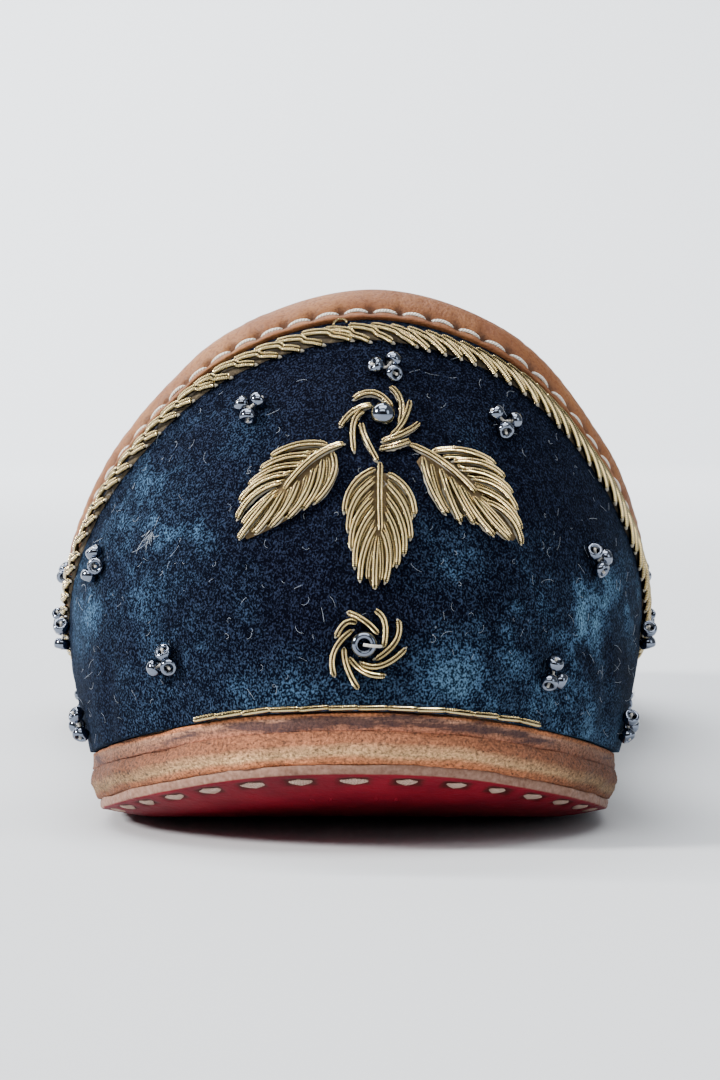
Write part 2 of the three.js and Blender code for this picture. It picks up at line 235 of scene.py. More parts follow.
# Rings of equal count joined into a skin; it closes round each ring, and end to end if asked
def skinFaces(rings, count, closed):
    i = np.arange(rings if closed else rings - 1)[:, None]
    j = np.arange(count)[None]
    a = i * count + j
    b = i * count + (j + 1) % count
    c = (i + 1) % rings * count + (j + 1) % count
    d = (i + 1) % rings * count + j
    return np.stack([a, b, c, d], -1).reshape(-1, 4)


# The open skin with a face over each end
def cappedFaces(rings, count):
    start = np.arange(count)[None]
    return [skinFaces(rings, count, False), start[:, ::-1], start + (rings - 1) * count]


# Faces of one body repeated for others that have as many points
def repeated(faces, bodies, points):
    first = np.arange(bodies)[:, None, None] * points
    return [(quads + first).reshape(-1, quads.shape[1]) for quads in faces]


# Many tubes at once: a section of (sideways, outwards) carried along each path, sized by the taper
def tubes(paths, outs, section, taper):
    k, n, _ = paths.shape
    m = len(section)
    tangent = unit(np.gradient(paths, axis=1))
    side = unit(np.cross(outs, tangent))
    rise = np.cross(tangent, side)
    size = np.broadcast_to(taper, (k, n))[..., None, None]
    reach = side[:, :, None] * section[:, :1] + rise[:, :, None] * section[:, 1:]
    uv = np.stack(np.broadcast_arrays(lengthAlong(paths)[:, :, None], np.arange(m) / m), -1)
    return body(paths[:, :, None] + size * reach, repeated(cappedFaces(n, m), k, n * m), uv)


# A circle that starts at its lowest point
def roundSection(radius, count):
    turn = 2 * math.pi * np.arange(count) / count - math.pi / 2
    return np.stack([radius * np.cos(turn), radius * np.sin(turn)], -1)


# Gold wire section: an ellipse with a Gaussian groove along its top, starting at the bottom
def wireSection(width, height, groove, count=12):
    side, rise = (roundSection(1, count) * [width / 2, height / 2]).T
    rise = rise - groove * np.exp(-(side / (0.13 * width)) ** 2) * (rise > 0)
    return np.stack([side, rise], -1)


# Ends drawn in over a share of the length: the square root of a sine's first quarter at each end
def blunt(n, ends=0.06, least=0.45):
    t = np.linspace(0, 1, n)
    near = np.clip(np.minimum(t, 1 - t) / ends, 0, 1)
    return least + (1 - least) * np.sqrt(np.sin(near * math.pi / 2))


# A body made a mesh in metres, that rides on the root and takes the place of CAD nodes
def putPiece(name, made, material, slot, *nodes):
    mesh = bpy.data.meshes.new(name)
    points = (made["points"] + [0, shiftY, 0]) * 0.001
    corners = np.concatenate([quads.ravel() for quads in made["faces"]]).astype(np.int32)
    sizes = np.concatenate([np.full(len(quads), quads.shape[1]) for quads in made["faces"]])
    starts = np.concatenate([[0], np.cumsum(sizes)[:-1]]).astype(np.int32)
    mesh.vertices.add(len(points))
    mesh.vertices.foreach_set("co", points.astype(np.float32).ravel())
    mesh.loops.add(len(corners))
    mesh.loops.foreach_set("vertex_index", corners)
    mesh.polygons.add(len(starts))
    mesh.polygons.foreach_set("loop_start", starts)
    mesh.polygons.foreach_set("use_smooth", np.ones(len(starts), bool))
    mesh.update(calc_edges=True)
    layer = mesh.uv_layers.new(name="lengthAndTurn")
    layer.data.foreach_set("uv", made["uv"][corners].astype(np.float32).ravel())
    for key, values in made["values"].items():
        painted = mesh.attributes.new(key, "FLOAT", "POINT")
        painted.data.foreach_set("value", values.astype(np.float32).ravel())
    mesh.materials.append(material)
    piece = bpy.data.objects.new(name, mesh)
    bpy.context.scene.collection.objects.link(piece)
    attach(piece, "root")
    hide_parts(*nodes)
    return piece


# Node helpers. A surface is a new material with its node tree and main shader.
def surface(name, **constants):
    made = bpy.data.materials.new(name)
    made.use_nodes = True
    shader = made.node_tree.nodes["Principled BSDF"]
    for key, value in constants.items():
        shader.inputs[key].default_value = value
    return made, made.node_tree, shader


# A node with its sockets given by name, or as i0, i1 by number, and joined or set
def node(tree, kind, settings=None, **links):
    made = tree.nodes.new(kind)
    for key, value in (settings or {}).items():
        setattr(made, key, value)
    for key, value in links.items():
        socket = made.inputs[int(key[1:])] if key[0] == "i" and key[1:].isdigit() else made.inputs[key]
        if isinstance(value, bpy.types.NodeSocket):
            tree.links.new(value, socket)
        else:
            socket.default_value = value
    return made


# Fractal noise on Object coordinates, which a stretch makes longer or finer along an axis
def noise(tree, scale, detail=3, rough=0.55, stretch=(1, 1, 1)):
    where = node(tree, "ShaderNodeTexCoord").outputs["Object"]
    placed = node(tree, "ShaderNodeMapping", Vector=where, Scale=stretch).outputs[0]
    made = node(tree, "ShaderNodeTexNoise", Vector=placed, Scale=scale, Detail=detail, Roughness=rough)
    return made.outputs["Fac"]


def maths(tree, operation, a, b=0.0):
    return node(tree, "ShaderNodeMath", {"operation": operation}, i0=a, i1=b).outputs[0]


# A colour picked by a value, from stops of (place, colour)
def ramp(tree, value, stops):
    made = node(tree, "ShaderNodeValToRGB", Fac=value)
    band = made.color_ramp.elements
    while len(band) < len(stops):
        band.new(0.5)
    for element, (place, colour) in zip(band, stops):
        element.position = place
        element.color = (*colour, 1)
    return made.outputs["Color"]


# Two colours mixed by a share: a at 0, b at 1
def mixed(tree, share, a, b):
    made = node(tree, "ShaderNodeMix", {"data_type": "RGBA"}, i0=share)
    for socket, value in ((made.inputs[6], a), (made.inputs[7], b)):
        if isinstance(value, bpy.types.NodeSocket):
            tree.links.new(value, socket)
        else:
            socket.default_value = (*value, 1)
    return made.outputs[2]


# A range spread over another one, and held at its ends
def spread(tree, value, low, high, least=0.0, most=1.0):
    ends = {"From Min": low, "From Max": high, "To Min": least, "To Max": most}
    return node(tree, "ShaderNodeMapRange", Value=value, **ends).outputs[0]


# A product, a value less its middle times a strength, and the distance from a middle
def times(tree, a, b):
    return maths(tree, "MULTIPLY", a, b)


def offset(tree, value, middle, strength):
    return times(tree, maths(tree, "SUBTRACT", value, middle), strength)


def awayFrom(tree, value, middle):
    return maths(tree, "ABSOLUTE", maths(tree, "SUBTRACT", value, middle))


# A value stored in the mesh, and the two parts of its uv
def stored(tree, name):
    return node(tree, "ShaderNodeAttribute", {"attribute_name": name}).outputs["Fac"]


def uvParts(tree):
    split = node(tree, "ShaderNodeSeparateXYZ", Vector=node(tree, "ShaderNodeUVMap").outputs[0])
    return split.outputs[0], split.outputs[1]


# The colour and the bump joined to the main shader
def dressed(made, tree, shader, colour, height, strength, distance):
    bump = node(tree, "ShaderNodeBump", Height=height, Strength=strength, Distance=distance)
    tree.links.new(colour, shader.inputs["Base Color"])
    tree.links.new(bump.outputs[0], shader.inputs["Normal"])
    return made


# Velvet: a fine grain picks between a dark and a lit colour, and both follow the value of crushed nap and
# painted sheen
def velvetSurface():
    sheen = {"Sheen Weight": 0.03, "Sheen Roughness": 0.35, "Sheen Tint": (0.35, 0.55, 0.85, 1)}
    made, tree, shader = surface("velvet", Roughness=0.85, **sheen, **{"Specular IOR Level": 0.02})
    napAndSheen = stored(tree, "napAndSheen")
    grain = noise(tree, 5200, 1, 0.5, (1, 1, 0.8))
    both = maths(tree, "ADD", grain, offset(tree, noise(tree, 1300, 2, 0.6), 0.5, 0.35))
    fleck = spread(tree, maths(tree, "ADD", both, times(tree, napAndSheen, 0.12)), 0.48, 0.76)
    deep = ramp(tree, napAndSheen, [(0, (0.0006, 0.0008, 0.003)), (0.5, (0.0014, 0.004, 0.011)),
                            (1, (0.008, 0.026, 0.048))])
    lit = ramp(tree, napAndSheen, [(0, (0.0125, 0.0155, 0.036)), (0.5, (0.062, 0.125, 0.215)),
                           (1, (0.15, 0.28, 0.4))])
    return dressed(made, tree, shader, mixed(tree, fleck, deep, lit), both, 0.8, 0.0003)


# Gold wire: fine ribs by a sine of the length, with painted shade between them, in the groove and on the
# flanks
def goldSurface():
    ribPitch = 0.2
    made, tree, shader = surface("goldWire", Metallic=1.0, Roughness=0.15)
    length, turn = uvParts(tree)
    rib = maths(tree, "SINE", times(tree, length, 2 * math.pi / ribPitch))
    offTop = awayFrom(tree, turn, 0.5)
    grooveShade = spread(tree, offTop, 0.02, 0.08)
    ribShade = spread(tree, rib, -1, 1, 0.44, 1)
    flankShade = spread(tree, offTop, 0.13, 0.29, 1, 0.12)
    tint = mixed(tree, noise(tree, 160), (1.0, 0.77, 0.34), (1.0, 0.8, 0.42))
    # The near-black colour is painted shade between the ribs, in the groove and on the flanks
    colour = mixed(tree, times(tree, times(tree, ribShade, grooveShade), flankShade), (0.02, 0.009, 0.002), tint)
    return dressed(made, tree, shader, colour, rib, 0.8, 0.00006)


# Smooth leather: a mottled tan with pores, and painted shade in the stitch holes
def leatherSurface(name, dark, light, stain, rough):
    made, tree, shader = surface(name, Roughness=rough, **{"Specular IOR Level": 0.3})
    pores = noise(tree, 3000, 2)
    base = ramp(tree, noise(tree, 120, 4), [(0.3, dark), (0.7, light)])
    spots = ramp(tree, pores, [(0.34, (1, 1, 1)), (0.52, (0, 0, 0))])
    spotted = mixed(tree, times(tree, spots, 0.55), base, stain)
    # Painted shade in the stitch holes
    colour = mixed(tree, times(tree, stored(tree, "hole"), 0.85), spotted, (0.035, 0.014, 0.008))
    return dressed(made, tree, shader, colour, pores, 0.5, 0.0002)


# Cut edge of a sole layer: the height within the layer picks the colour, a grain shades it, more so
# away from the back, and stains lie along it
def edgeSurface(name, stops, stain, stainFrom, backStain):
    made, tree, shader = surface(name, Roughness=0.9)
    fromBack, height = uvParts(tree)
    grain = noise(tree, 3600, 3, 0.7, (0.8, 0.8, 1))
    wander = offset(tree, noise(tree, 130, 4), 0.5, 0.45)
    base = ramp(tree, maths(tree, "ADD", height, wander), stops)
    shade = times(tree, spread(tree, grain, 0.3, 0.7, 0.15, 1.95), spread(tree, fromBack, 10, 32, 1.15, 0.4))
    grained = node(tree, "ShaderNodeVectorMath", {"operation": "SCALE"}, i0=base, i3=shade).outputs[0]
    nearBack = times(tree, spread(tree, fromBack, 28, 14), backStain)
    weight = maths(tree, "SUBTRACT", nearBack, times(tree, awayFrom(tree, height, 0.42), 0.3))
    blotch = maths(tree, "ADD", noise(tree, 230, 5, 0.65, (0.3, 0.3, 2)), weight)
    blots = spread(tree, blotch, stainFrom, stainFrom + 0.1)
    colour = mixed(tree, times(tree, blots, 0.85), grained, stain)
    return dressed(made, tree, shader, colour, grain, 1.0, 0.0003)


# Outsole: red on its faces with painted shade in the slots, and a raw pale edge where the height is over
# nothing
def redSurface():
    made, tree, shader = surface("redLeather", Roughness=0.55, **{"Specular IOR Level": 0.1})
    dye = ramp(tree, noise(tree, 90, 5, 0.65), [(0.3, (0.1, 0.0022, 0.009)), (0.6, (0.2, 0.004, 0.0145)),
                                                (0.8, (0.25, 0.008, 0.02))])
    # Painted shade in the stitch slots
    faces = mixed(tree, times(tree, stored(tree, "slot"), 0.9), dye, (0.035, 0.008, 0.006))
    raw = ramp(tree, noise(tree, 2200, 3, 0.6), [(0.3, (0.16, 0.0798, 0.0546)), (0.7, (0.286, 0.168, 0.122))])
    colour = mixed(tree, spread(tree, uvParts(tree)[1], 0.04, 0.14), faces, raw)
    return dressed(made, tree, shader, colour, noise(tree, 900, 4), 0.4, 0.0003)


# Thread: two plies by a sine of length and turn together
def threadSurface(name, pale, dark):
    made, tree, shader = surface(name, Roughness=0.75)
    length, turn = uvParts(tree)
    ply = maths(tree, "ADD", times(tree, length, 1.6), turn)
    twist = maths(tree, "SINE", times(tree, ply, 4 * math.pi))
    return dressed(made, tree, shader, mixed(tree, noise(tree, 1500), pale, dark), twist, 0.6, 0.0001)


# Felt: one noise for its colour and its height
def feltSurface(name, light, dark):
    made, tree, shader = surface(name, Roughness=0.95)
    fluff = noise(tree, 1800, 4, 0.7)
    return dressed(made, tree, shader, ramp(tree, fluff, [(0.3, dark), (0.7, light)]), fluff, 0.9, 0.0003)


# Steel bead: a smooth mirror whose tint drifts slowly
def beadSurface():
    made, tree, shader = surface("steelBead", Metallic=1.0, Roughness=0.07)
    colour = mixed(tree, noise(tree, 300), (0.12, 0.14, 0.185), (0.2, 0.225, 0.28))
    tree.links.new(colour, shader.inputs["Base Color"])
    return made


velvet = velvetSurface()
gold = goldSurface()
thread = threadSurface("thread", (0.75, 0.71, 0.64), (0.54, 0.5, 0.43))
waxedThread = threadSurface("waxedThread", (0.64, 0.47, 0.37), (0.24, 0.13, 0.085))
felt = feltSurface("felt", (0.53, 0.48, 0.39), (0.3, 0.27, 0.2))
# Felt coloured nearly black, as painted shade for the braid's cord
paintedShadeFelt = feltSurface("paintedShadeFelt", (0.1, 0.075, 0.04), (0.03, 0.02, 0.012))
padding = feltSurface("padding", (0.13, 0.085, 0.03), (0.04, 0.022, 0.008))
lint = feltSurface("lint", (0.5, 0.54, 0.6), (0.2, 0.24, 0.3))
steel = beadSurface()
red = redSurface()
bindingLeather = leatherSurface("bindingLeather", (0.155, 0.052, 0.018), (0.25, 0.104, 0.036),
                                (0.09, 0.025, 0.009), 0.56)
liningLeather = leatherSurface("liningLeather", (0.33, 0.2, 0.115), (0.45, 0.295, 0.18),
                               (0.2, 0.115, 0.065), 0.7)
randBands = [(0, (0.27, 0.09, 0.045)), (0.3, (0.29, 0.115, 0.06)), (0.7, (0.38, 0.185, 0.11)),
             (0.82, (0.46, 0.16, 0.06)), (1, (0.5, 0.16, 0.055))]
soleBands = [(0, (0.35, 0.11, 0.038)), (0.12, (0.35, 0.125, 0.05)), (0.26, (0.46, 0.27, 0.125)),
             (0.44, (0.39, 0.205, 0.095)), (0.6, (0.24, 0.085, 0.036)), (1, (0.21, 0.07, 0.03))]
randLeather = edgeSurface("randLeather", randBands, (0.0319, 0.0143, 0.0185), 0.47, 0.12)
soleLeather = edgeSurface("soleLeather", soleBands, (0.101, 0.0378, 0.0252), 0.58, 0.0)
print("materials ready")


# Creases of the velvet, from one (u, v) to another, with depth and width in millimetres:
# drawn in over the sole at the heel, and bent over the toes on the vamp
creases = [
    (-2.35, 0.02, -2.15, 0.26, 0.32, 1.6), (-1.5, 0.02, -1.42, 0.2, 0.22, 1.5),
    (1.7, 0.02, 1.62, 0.22, 0.25, 1.5), (2.5, 0.02, 2.3, 0.3, 0.3, 1.7),
    (-3.3, 0.55, -2.6, 0.35, 0.2, 2.4), (3.4, 0.6, 2.7, 0.4, 0.2, 2.4),
    (7.3, 0.12, 7.6, 0.72, 0.45, 2.6), (12.7, 0.12, 12.4, 0.72, 0.45, 2.6),
    (8.2, 0.2, 8.35, 0.6, 0.35, 2.2), (11.8, 0.2, 11.65, 0.6, 0.35, 2.2),
    (9.3, 0.03, 9.35, 0.3, 0.35, 1.8), (10.6, 0.03, 10.5, 0.28, 0.3, 1.8),
    (5.4, 0.2, 6.2, 0.45, 0.3, 2.2), (14.6, 0.2, 13.8, 0.45, 0.3, 2.2),
]


# Depth of the creases at a point: a Gaussian of its distance from each line
def creaseDepth(points):
    depth = np.zeros(points.shape[:-1])
    for u0, v0, u1, v1, deep, wide in creases:
        a, b = wallPoint(u0, v0), wallPoint(u1, v1)
        share = np.clip(((points - a) @ (b - a)) / ((b - a) @ (b - a)), 0, 1)
        gap = np.linalg.norm(points - a - share[..., None] * (b - a), axis=-1)
        depth += deep * np.exp(-(gap / wide) ** 2)
    return depth


# Velvet shell: outer face with creases and slow unevenness, then its inner face on the lining
velvetShell = {"around": 760, "up": 66, "thick": 1, "top": 4.25,
               "slow": 0.12, "slowSize": 20, "fine": 0.035, "fineSize": 3.2}
u = evenly(footLine, velvetShell["around"])
top = belowTop(u, [velvetShell["top"]])
levels = np.linspace(0, 1, velvetShell["up"]) ** 1.1
outerV = top * levels
seat = wallPoint(u[:, None], outerV)
relief = velvetShell["slow"] * ripple(seat, velvetShell["slowSize"], 3)
relief += velvetShell["fine"] * ripple(seat, velvetShell["fineSize"], 4) - creaseDepth(seat)
relief *= np.clip((1 - levels) * 9, 0, 1)
outer = offWall(u[:, None], outerV, relief)
innerV = top * np.linspace(1, 0, 12)
inner = offWall(u[:, None], innerV, np.full(innerV.shape, -velvetShell["thick"]))
ringPoints = np.concatenate([outer, inner], 1)


# Nap and painted sheen: crushed patches as Gaussians of x and z on the back, and slow unevenness everywhere;
# painted sheen as a lighter band over the sole, weaker to the left, and at the edges of the back, more on the
# right; further forward the flanks are lighter, also painted sheen
crushed = [
    (10.5, 31, 4, 0.52), (21, 23, 6.5, 0.4), (10, 20, 3.5, 0.14), (28, 26, 4.5, 0.26), (-20, 35, 6, 0.36),
    (-27, 24, 5, 0.26), (-15, 21, 5, 0.16), (-13, 45, 3.5, 0.12), (14, 44, 3, 0.08), (-2, 13, 5, 0.1),
]
# Ground level of the nap, and the strengths and places of the painted sheen
napGroundAndSheen = {"ground": 0.03, "bandHeight": 15, "band": 0.1, "backSheenBand": 0.26, "edge": 0.16, "edgeSheenLean": 0.08,
           "flankSheen": 0.13, "backEnds": -90}


def napAndSheenValue(points):
    x, y, z = points[..., 0], points[..., 1], points[..., 2]
    clouds = 0.55 * ripple(points, 11, 21) + 0.4 * ripple(points, 4.5, 22) + 0.3 * ripple(points, 2.2, 23)
    patches = np.clip(0.5 + clouds, 0, 1.5)
    back = softStep(napGroundAndSheen["backEnds"] - y, -4)
    blots = sum(most * np.exp(-((x - a) ** 2 + (z - b) ** 2) / wide ** 2) for a, b, wide, most in crushed)
    low = np.clip((underside(y) + napGroundAndSheen["bandHeight"] - z) / 6, 0, 1)
    # Painted sheen: a lighter band low on the wall, stronger at the back and weaker to the left
    band = low * (napGroundAndSheen["band"] + napGroundAndSheen["backSheenBand"] * back) * np.clip((x + 30) / 32, 0.15, 1)
    # Painted sheen at the edges of the back, more on the right
    side = np.clip((np.abs(x - 1) - 29) / 5, 0, 1) * np.clip((42 - z) / 10, 0, 1)
    edge = (napGroundAndSheen["edge"] + napGroundAndSheen["edgeSheenLean"] * np.sign(x)) * back * side
    # Painted sheen on the flanks further forward
    flankSheen = napGroundAndSheen["flankSheen"] * np.clip((np.abs(x) - 12) / 20, 0, 1) + 0.05
    strong = (back * blots * 1.1 + (1 - back) * flankSheen) * (0.3 + 1.1 * patches)
    return np.clip(napGroundAndSheen["ground"] + strong + np.maximum(band, edge) * (0.6 + 0.6 * patches), 0, 1)


# Crushed nap and painted sheen, stored for the velvet's colour
napAndSheen = napAndSheenValue(ringPoints)
shell = body(ringPoints, [skinFaces(*ringPoints.shape[:2], True)], None, {"napAndSheen": napAndSheen.ravel()})
putPiece("velvetShell", shell, velvet, "velvet", "upper")

lining = {"top": 4.3, "depth": 1.02, "up": 24}
v = belowTop(u[::2], [lining["top"]]) * np.linspace(0, 1, lining["up"])
rings = np.concatenate([offWall(u[::2, None], v, np.full(v.shape, -lining["depth"])),
                        offWall(u[::2, None], v[:, ::-1], np.full(v.shape, -float(shoe["wall"])))], 1)
liningShell = body(rings, [skinFaces(*rings.shape[:2], True)])
putPiece("liningShell", liningShell, liningLeather, "lining_leather", "upper")
print("upper made")


# Collar roll: (distance below the topline, distance out), with a stitch row drawn into it
collar = {
    "around": 1400, "stitchDown": 3.45, "pitch": 3.1, "thread": 0.19, "bow": 0.09, "bowSpread": 0.05,
    "dimple": 0.42, "dimpleSize": 0.5, "rowSize": 0.45, "puff": 0.06, "puffDown": 2.3, "puffSize": 0.8,
    "slow": 0.05, "slowSize": 7, "fine": 0.02, "fineSize": 1.6,
    "profile": [(4.36, 0.02), (4.36, 0.36), (4.28, 0.5), (4.05, 0.54), (3.8, 0.5), (3.6, 0.36), (3.45, 0.3),
                (3.28, 0.36), (3.08, 0.54), (2.7, 0.7), (2.0, 0.8), (1.2, 0.74), (0.5, 0.5), (0.02, 0.1),
                (-0.32, -0.45), (-0.42, -1), (-0.32, -1.55), (0, -2.02), (0.5, -2.35), (1.3, -2.52),
                (2.6, -2.55), (3.8, -2.5), (4.3, -2.45), (4.35, -2.0), (4.35, -1)],
}
topLine = lineRound(collar["stitchDown"])
stitchCount = int(round(topLine[1][-1] / collar["pitch"]))
stitchPitch = topLine[1][-1] / stitchCount
u = evenly(topLine, collar["around"])
travelled = np.arange(collar["around"]) / collar["around"] * topLine[1][-1]
down, out = np.array(collar["profile"]).T
points = offWall(u[:, None], belowTop(u, down), np.broadcast_to(out, (len(u), len(out))))
fromHole = toNearest(travelled, stitchPitch)
fromRow = down - collar["stitchDown"]
nearHole = np.exp(-(fromHole / collar["dimpleSize"]) ** 2)[:, None]
dimple = nearHole * np.exp(-(fromRow / collar["rowSize"]) ** 2)
outside = (out > -0.5) * (down > 0.05)
wobble = collar["slow"] * ripple(points, collar["slowSize"], 31)
wobble = wobble + collar["fine"] * ripple(points, collar["fineSize"], 32)
puffed = np.exp(-((down - collar["puffDown"]) / collar["puffSize"]) ** 2)
between = collar["puff"] * np.sin(math.pi * fromHole / stitchPitch)[:, None] * puffed
shift = (wobble - collar["dimple"] * dimple + between) * outside
roll = offWall(u[:, None], belowTop(u, down), out + shift)
# Painted shade in the stitch dimples, darkening the leather's colour there
hole = (dimple * outside) ** 0.7
made = body(roll, [skinFaces(*roll.shape[:2], True)], None, {"hole": hole.ravel()})
putPiece("collarRoll", made, bindingLeather, "binding_leather", "collar_binding")

# Stitches: from hole to hole, bowed towards the top and diving at both ends
t = np.linspace(0, 1, 11)
place = (np.arange(stitchCount)[:, None] + 0.11 + 0.78 * t) * stitchPitch
jitter = chance.normal(0, collar["bowSpread"], (stitchCount, 1))
bow = collar["stitchDown"] + 0.02 - (collar["bow"] + jitter) * np.sin(math.pi * t)
lift = 0.12 + 0.3 * np.sin(math.pi * t) ** 0.6
u = np.interp(place, topLine[1], topLine[0])
v = belowTop(u.ravel(), bow.reshape(-1, 1)).reshape(u.shape)
point, normal, _, _ = wallFrame(u, v)
taper = 0.55 + 0.45 * np.sin(math.pi * t) ** 0.5
stitches = tubes(point + normal * lift[:, None], normal, roundSection(collar["thread"], 8), taper)
putPiece("collarStitches", stitches, thread, "thread", "collar_binding")
print("collar made,", stitchCount, "stitches")


# Braid: wire pieces laid over a cord of felt. A piece is (along, down, out) of its points: on the
# left of the back it steps down halfway, and on the right it slants; elsewhere it is between them.
braid = {"top": 5.55, "width": 0.86, "height": 0.74, "groove": 0.24, "leftPitch": 2.55, "rightPitch": 1.85,
         "left": [(0, 0, 0.42), (1.5, 0.48, 0.78), (3, 1, 0.88), (3.35, 1.4, 0.66), (4.25, 1.75, 0.66),
                  (5.2, 2.1, 0.44)],
         "right": [(0, 0, 0.42), (0.9, 0.46, 0.7), (2, 1.05, 0.88), (2.75, 1.5, 0.8), (3.4, 1.9, 0.66),
                   (4, 2.25, 0.44)]}
braidLine = lineRound(braid["top"])
around = braidLine[1][-1]
# The share of the left kind along the line: 1 left of the back, 0 right of it, a half further on
along = np.linspace(0, around, 2000)
fromBack = (along + around / 2) % around - around / 2
leftShare = 0.5 - 0.5 * np.tanh(fromBack / 3) * np.exp(-(fromBack / 70) ** 4)
density = 1 / (braid["rightPitch"] + (braid["leftPitch"] - braid["rightPitch"]) * leftShare)
counted = np.concatenate([[0], np.cumsum((density[1:] + density[:-1]) / 2 * np.diff(along))])
pieceCount = int(round(counted[-1]))
steps = np.arange(pieceCount) + chance.uniform(-0.08, 0.08, pieceCount)
start = np.interp(steps * counted[-1] / pieceCount, counted, along)
t = np.linspace(0, 1, 25)
knots = np.linspace(0, 1, 6)
tables = np.array([braid["left"], braid["right"]])
kinds = np.array([[np.interp(t, knots, table[:, k]) for k in range(3)] for table in tables])
smooth = (kinds[..., :-2] + 2 * kinds[..., 1:-1] + kinds[..., 2:]) / 4
kinds = np.concatenate([kinds[..., :1], smooth, kinds[..., -1:]], -1)
share = np.interp(start, along, leftShare)[:, None, None]
alongs, downs, outs = (kinds[0] * share + kinds[1] * (1 - share)).transpose(1, 0, 2)
reach = chance.uniform(0.93, 1.07, (pieceCount, 1))
drop = chance.uniform(0.9, 1.06, (pieceCount, 1))
u = np.interp((start[:, None] + alongs * reach) % around, braidLine[1], braidLine[0])
downAt = braid["top"] + downs * drop
v = belowTop(u.ravel(), downAt.reshape(-1, 1)).reshape(u.shape)
point, normal, _, _ = wallFrame(u, v)
paths = point + normal * (outs * chance.uniform(0.92, 1.1, (pieceCount, 1)))[..., None]
wires = tubes(paths, normal, wireSection(braid["width"], braid["height"], braid["groove"]), blunt(len(t)))

# The loose loop of thin wire over the braid: most of a circle that stands off it
looseLoop = {"place": (-0.2, 0.905), "radius": 0.7, "up": 0.1, "out": 0.9, "thick": 0.13, "points": 20}
turn = np.linspace(0, 1.8 * math.pi, looseLoop["points"])[:, None]
point, normal, alongWall, upWall = (a[None] for a in wallFrame(*looseLoop["place"]))
path = point + alongWall * (looseLoop["radius"] * np.cos(turn))
path = path + upWall * (looseLoop["up"] + looseLoop["radius"] * np.sin(turn)) + normal * looseLoop["out"]
outs = np.broadcast_to(normal, (1, *path.shape))
loop = tubes(path[None], outs, roundSection(looseLoop["thick"], 6), np.ones(looseLoop["points"]))
putPiece("braidWires", joined([wires, loop]), gold, "gold_wire", "topline_braid")

# Felt of the braid: a low cord below all the pieces, by (distance below the topline, distance out),
# and a core in each piece that shows at its ends
braidFelt = {"around": 900, "fluff": 0.05, "fluffSize": 1.2, "core": 0.2, "past": 0.8, "sunk": 0.14,
             "cord": [(7.35, -0.05), (7.3, 0.08), (7.0, 0.22), (6.6, 0.28), (6.2, 0.26), (5.8, 0.18),
                      (5.6, 0.08), (5.6, -0.05)]}
u = evenly(braidLine, braidFelt["around"])
down, out = np.array(braidFelt["cord"]).T
v = belowTop(u, down)
fluff = braidFelt["fluff"] * ripple(wallPoint(u[:, None], v), braidFelt["fluffSize"], 41) * (out > 0)
rings = offWall(u[:, None], v, out + fluff)
# The cord's nearly black felt is painted shade in the gaps between the wire pieces
putPiece("braidCord", body(rings, [skinFaces(*rings.shape[:2], True)]), paintedShadeFelt, "thread", "topline_braid")
past = (paths[:, -1:] - paths[:, -3:-2]) * braidFelt["past"]
ahead = paths + past * t[:, None] ** 6 - normal * braidFelt["sunk"]
cores = tubes(ahead, normal, roundSection(braidFelt["core"], 7), blunt(len(t)))
putPiece("braidCores", cores, felt, "thread", "topline_braid")
print("braid made,", pieceCount, "pieces")


